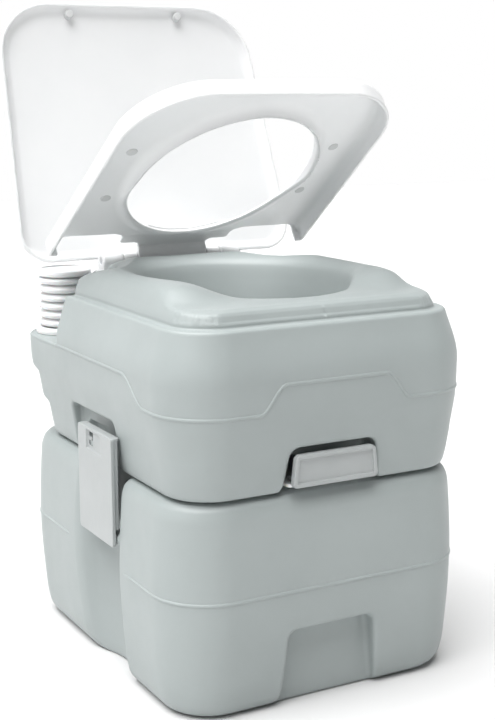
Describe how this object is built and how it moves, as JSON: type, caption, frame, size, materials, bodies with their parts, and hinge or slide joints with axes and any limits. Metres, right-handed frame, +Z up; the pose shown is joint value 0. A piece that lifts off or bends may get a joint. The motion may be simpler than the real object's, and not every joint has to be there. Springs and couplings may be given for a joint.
{
  "type": "portable camp toilet",
  "caption": "Two-part portable camp toilet: grey flush tank with bowl, hand bellows pump, white seat and lid, latched onto a waste tank with a slide valve.",
  "frame": {"origin": "centre of the waste tank's underside, on the floor", "axes": "+Z up, -Y towards the front face with the slide valve handle, +X to the right when looking at that face"},
  "size_m": [0.3442, 0.4932, 0.6907],
  "materials": {
    "tank_grey": "satin blow-moulded polyethylene",
    "fitting_grey": "satin moulded polypropylene",
    "seat_white": "glossy moulded polypropylene",
    "fitting_white": "satin moulded polyethylene",
    "seal_rubber": "matte",
    "bumper_rubber": "matte",
    "steel": "brushed",
    "hose": "milky flexible PVC"
  },
  "bodies": {
    "waste": {"waste_tank": "tank_grey", "neck_gasket": "seal_rubber", "valve_base": "fitting_white", "valve_cover": "fitting_white", "bowl_seal": "seal_rubber", "valve_screw_1": "steel", "valve_screw_2": "steel", "valve_screw_3": "steel", "valve_screw_4": "steel", "latch_pin_left": "steel", "latch_pin_right": "steel", "spout_seal": "seal_rubber"},
    "valve": {"valve_blade": "fitting_white", "valve_handle": "fitting_grey"},
    "latch_l": {"latch_left": "fitting_grey"},
    "latch_r": {"latch_right": "fitting_grey"},
    "spout": {"pour_spout": "tank_grey"},
    "spout_cover": {"spout_cap": "fitting_white", "spout_cap_seal": "seal_rubber"},
    "flush": {"flush_tank": "tank_grey", "pump_collar": "fitting_white", "pump_tube": "fitting_white", "flush_hose": "hose", "flush_nozzle": "fitting_white", "hinge_bracket_left": "seat_white", "hinge_bracket_right": "seat_white", "bracket_screw_1": "steel", "bracket_screw_2": "steel", "bracket_screw_3": "steel", "bracket_screw_4": "steel", "hinge_pin_left": "steel", "hinge_pin_right": "steel", "bellows": "fitting_white"},
    "filler": {"filler_cap": "fitting_white", "filler_seal": "seal_rubber"},
    "pump": {"pump_cap": "fitting_white"},
    "seat": {"toilet_seat": "seat_white", "seat_bumper_1": "bumper_rubber", "seat_bumper_2": "bumper_rubber", "seat_bumper_3": "bumper_rubber", "seat_bumper_4": "bumper_rubber"},
    "cover": {"lid": "seat_white", "lid_bumper_1": "bumper_rubber", "lid_bumper_2": "bumper_rubber"}
  },
  "joints": [
    {"name": "valve_slide", "type": "slide", "parent": "waste", "child": "valve", "axis": [0, -1, 0], "range_m": [0, 0.105]},
    {"name": "latch_left_swing", "type": "hinge", "parent": "waste", "child": "latch_l", "pos_m": [-0.16, -0.02, 0.15], "axis": [0, -1, 0], "range_deg": [0, 75]},
    {"name": "latch_right_swing", "type": "hinge", "parent": "waste", "child": "latch_r", "pos_m": [0.16, -0.02, 0.15], "axis": [0, 1, 0], "range_deg": [0, 75]},
    {"name": "spout_swing", "type": "hinge", "parent": "waste", "child": "spout", "pos_m": [0.118, 0.178, 0.188], "axis": [0, 0, -1], "range_deg": [0, 100]},
    {"name": "spout_cap_turn", "type": "hinge", "parent": "spout", "child": "spout_cover", "pos_m": [0.01, 0.178, 0.188], "axis": [-1, 0, 0], "continuous": true},
    {"name": "flush_lift", "type": "slide", "parent": "waste", "child": "flush", "axis": [0, 0, 1], "range_m": [0, 0.15]},
    {"name": "filler_cap_turn", "type": "hinge", "parent": "flush", "child": "filler", "pos_m": [0.114, 0.145, 0.38], "axis": [0, 0, 1], "continuous": true},
    {"name": "pump_press", "type": "slide", "parent": "flush", "child": "pump", "axis": [0, 0, -1], "range_m": [0, 0.035], "stiffness_N_per_m": 500, "springref_m": -0.01, "deforming": ["bellows"]},
    {"name": "seat_swing", "type": "hinge", "parent": "flush", "child": "seat", "pos_m": [0, 0.154, 0.402], "axis": [-1, 0, 0], "range_deg": [-35.7, 73]},
    {"name": "lid_swing", "type": "hinge", "parent": "flush", "child": "cover", "pos_m": [0, 0.154, 0.402], "axis": [-1, 0, 0], "range_deg": [-73.5, 0]}
  ]
}
